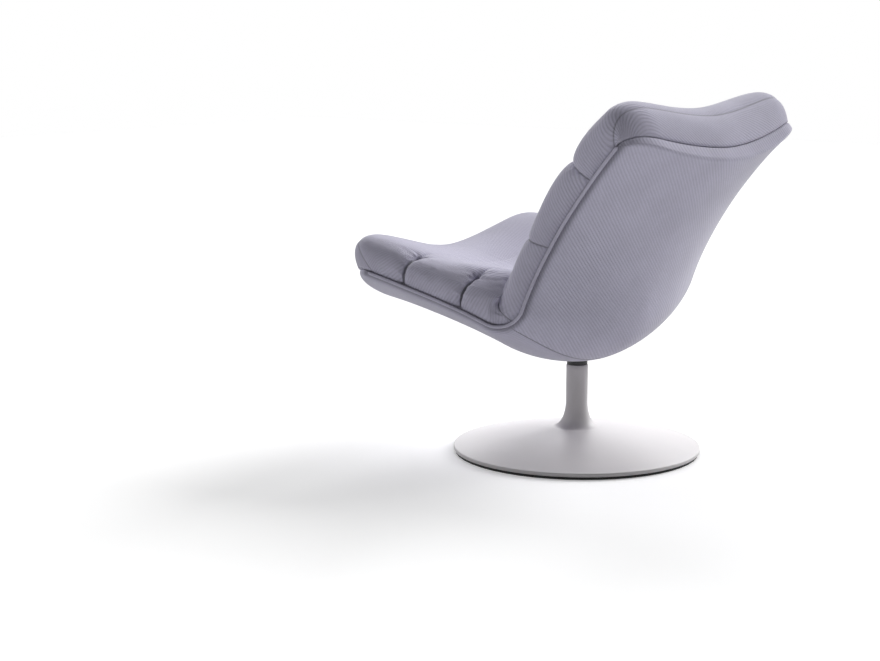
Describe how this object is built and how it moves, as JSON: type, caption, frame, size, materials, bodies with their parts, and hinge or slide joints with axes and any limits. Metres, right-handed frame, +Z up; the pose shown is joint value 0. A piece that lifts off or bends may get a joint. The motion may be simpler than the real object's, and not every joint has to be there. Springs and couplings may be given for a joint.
{
  "type": "pedestal swivel armchair",
  "caption": "Pedestal swivel armchair: a channelled bucket cushion on a padded curved shell, piped down the sides, turning on a round trumpet foot with a slim column",
  "frame": {"origin": "on the floor, on the swivel axis, in the middle of the floor pad's underside", "axes": "+Z up, the sitter faces -Y, +X towards the sitter's left"},
  "size_m": [0.6942, 0.8027, 0.7833],
  "materials": {
    "fabric": "pale lilac-grey upholstery cloth with a fine diagonal rib",
    "piping": "cord covered in the same cloth",
    "core": "moulded plywood, unfinished",
    "steel": "plain steel",
    "black_plastic": "black, matt",
    "nylon": "natural nylon",
    "rubber": "black, matt",
    "foot_paint": "warm light grey, satin powder coat"
  },
  "bodies": {
    "base": {"floor_pad": "rubber", "ballast_plate": "steel", "foot_cover": "foot_paint", "stem_tube": "steel", "lower_bush": "nylon", "upper_bush": "nylon", "thrust_washer": "nylon"},
    "seat": {"swivel_spindle": "steel", "retaining_ring": "steel", "swivel_collar": "black_plastic", "mounting_plate": "steel", "plate_bolt_1": "steel", "plate_bolt_2": "steel", "plate_bolt_3": "steel", "plate_bolt_4": "steel", "insert_nut_1": "steel", "insert_nut_2": "steel", "insert_nut_3": "steel", "insert_nut_4": "steel", "shell_core": "core", "seat_cover": "fabric", "back_cover": "fabric", "left_piping": "piping", "right_piping": "piping", "seat_cushion": "fabric", "back_cushion": "fabric"}
  },
  "joints": [
    {"name": "swivel", "type": "hinge", "parent": "base", "child": "seat", "pos_m": [0, 0, 0.191], "axis": [0, 0, 1], "continuous": true}
  ]
}
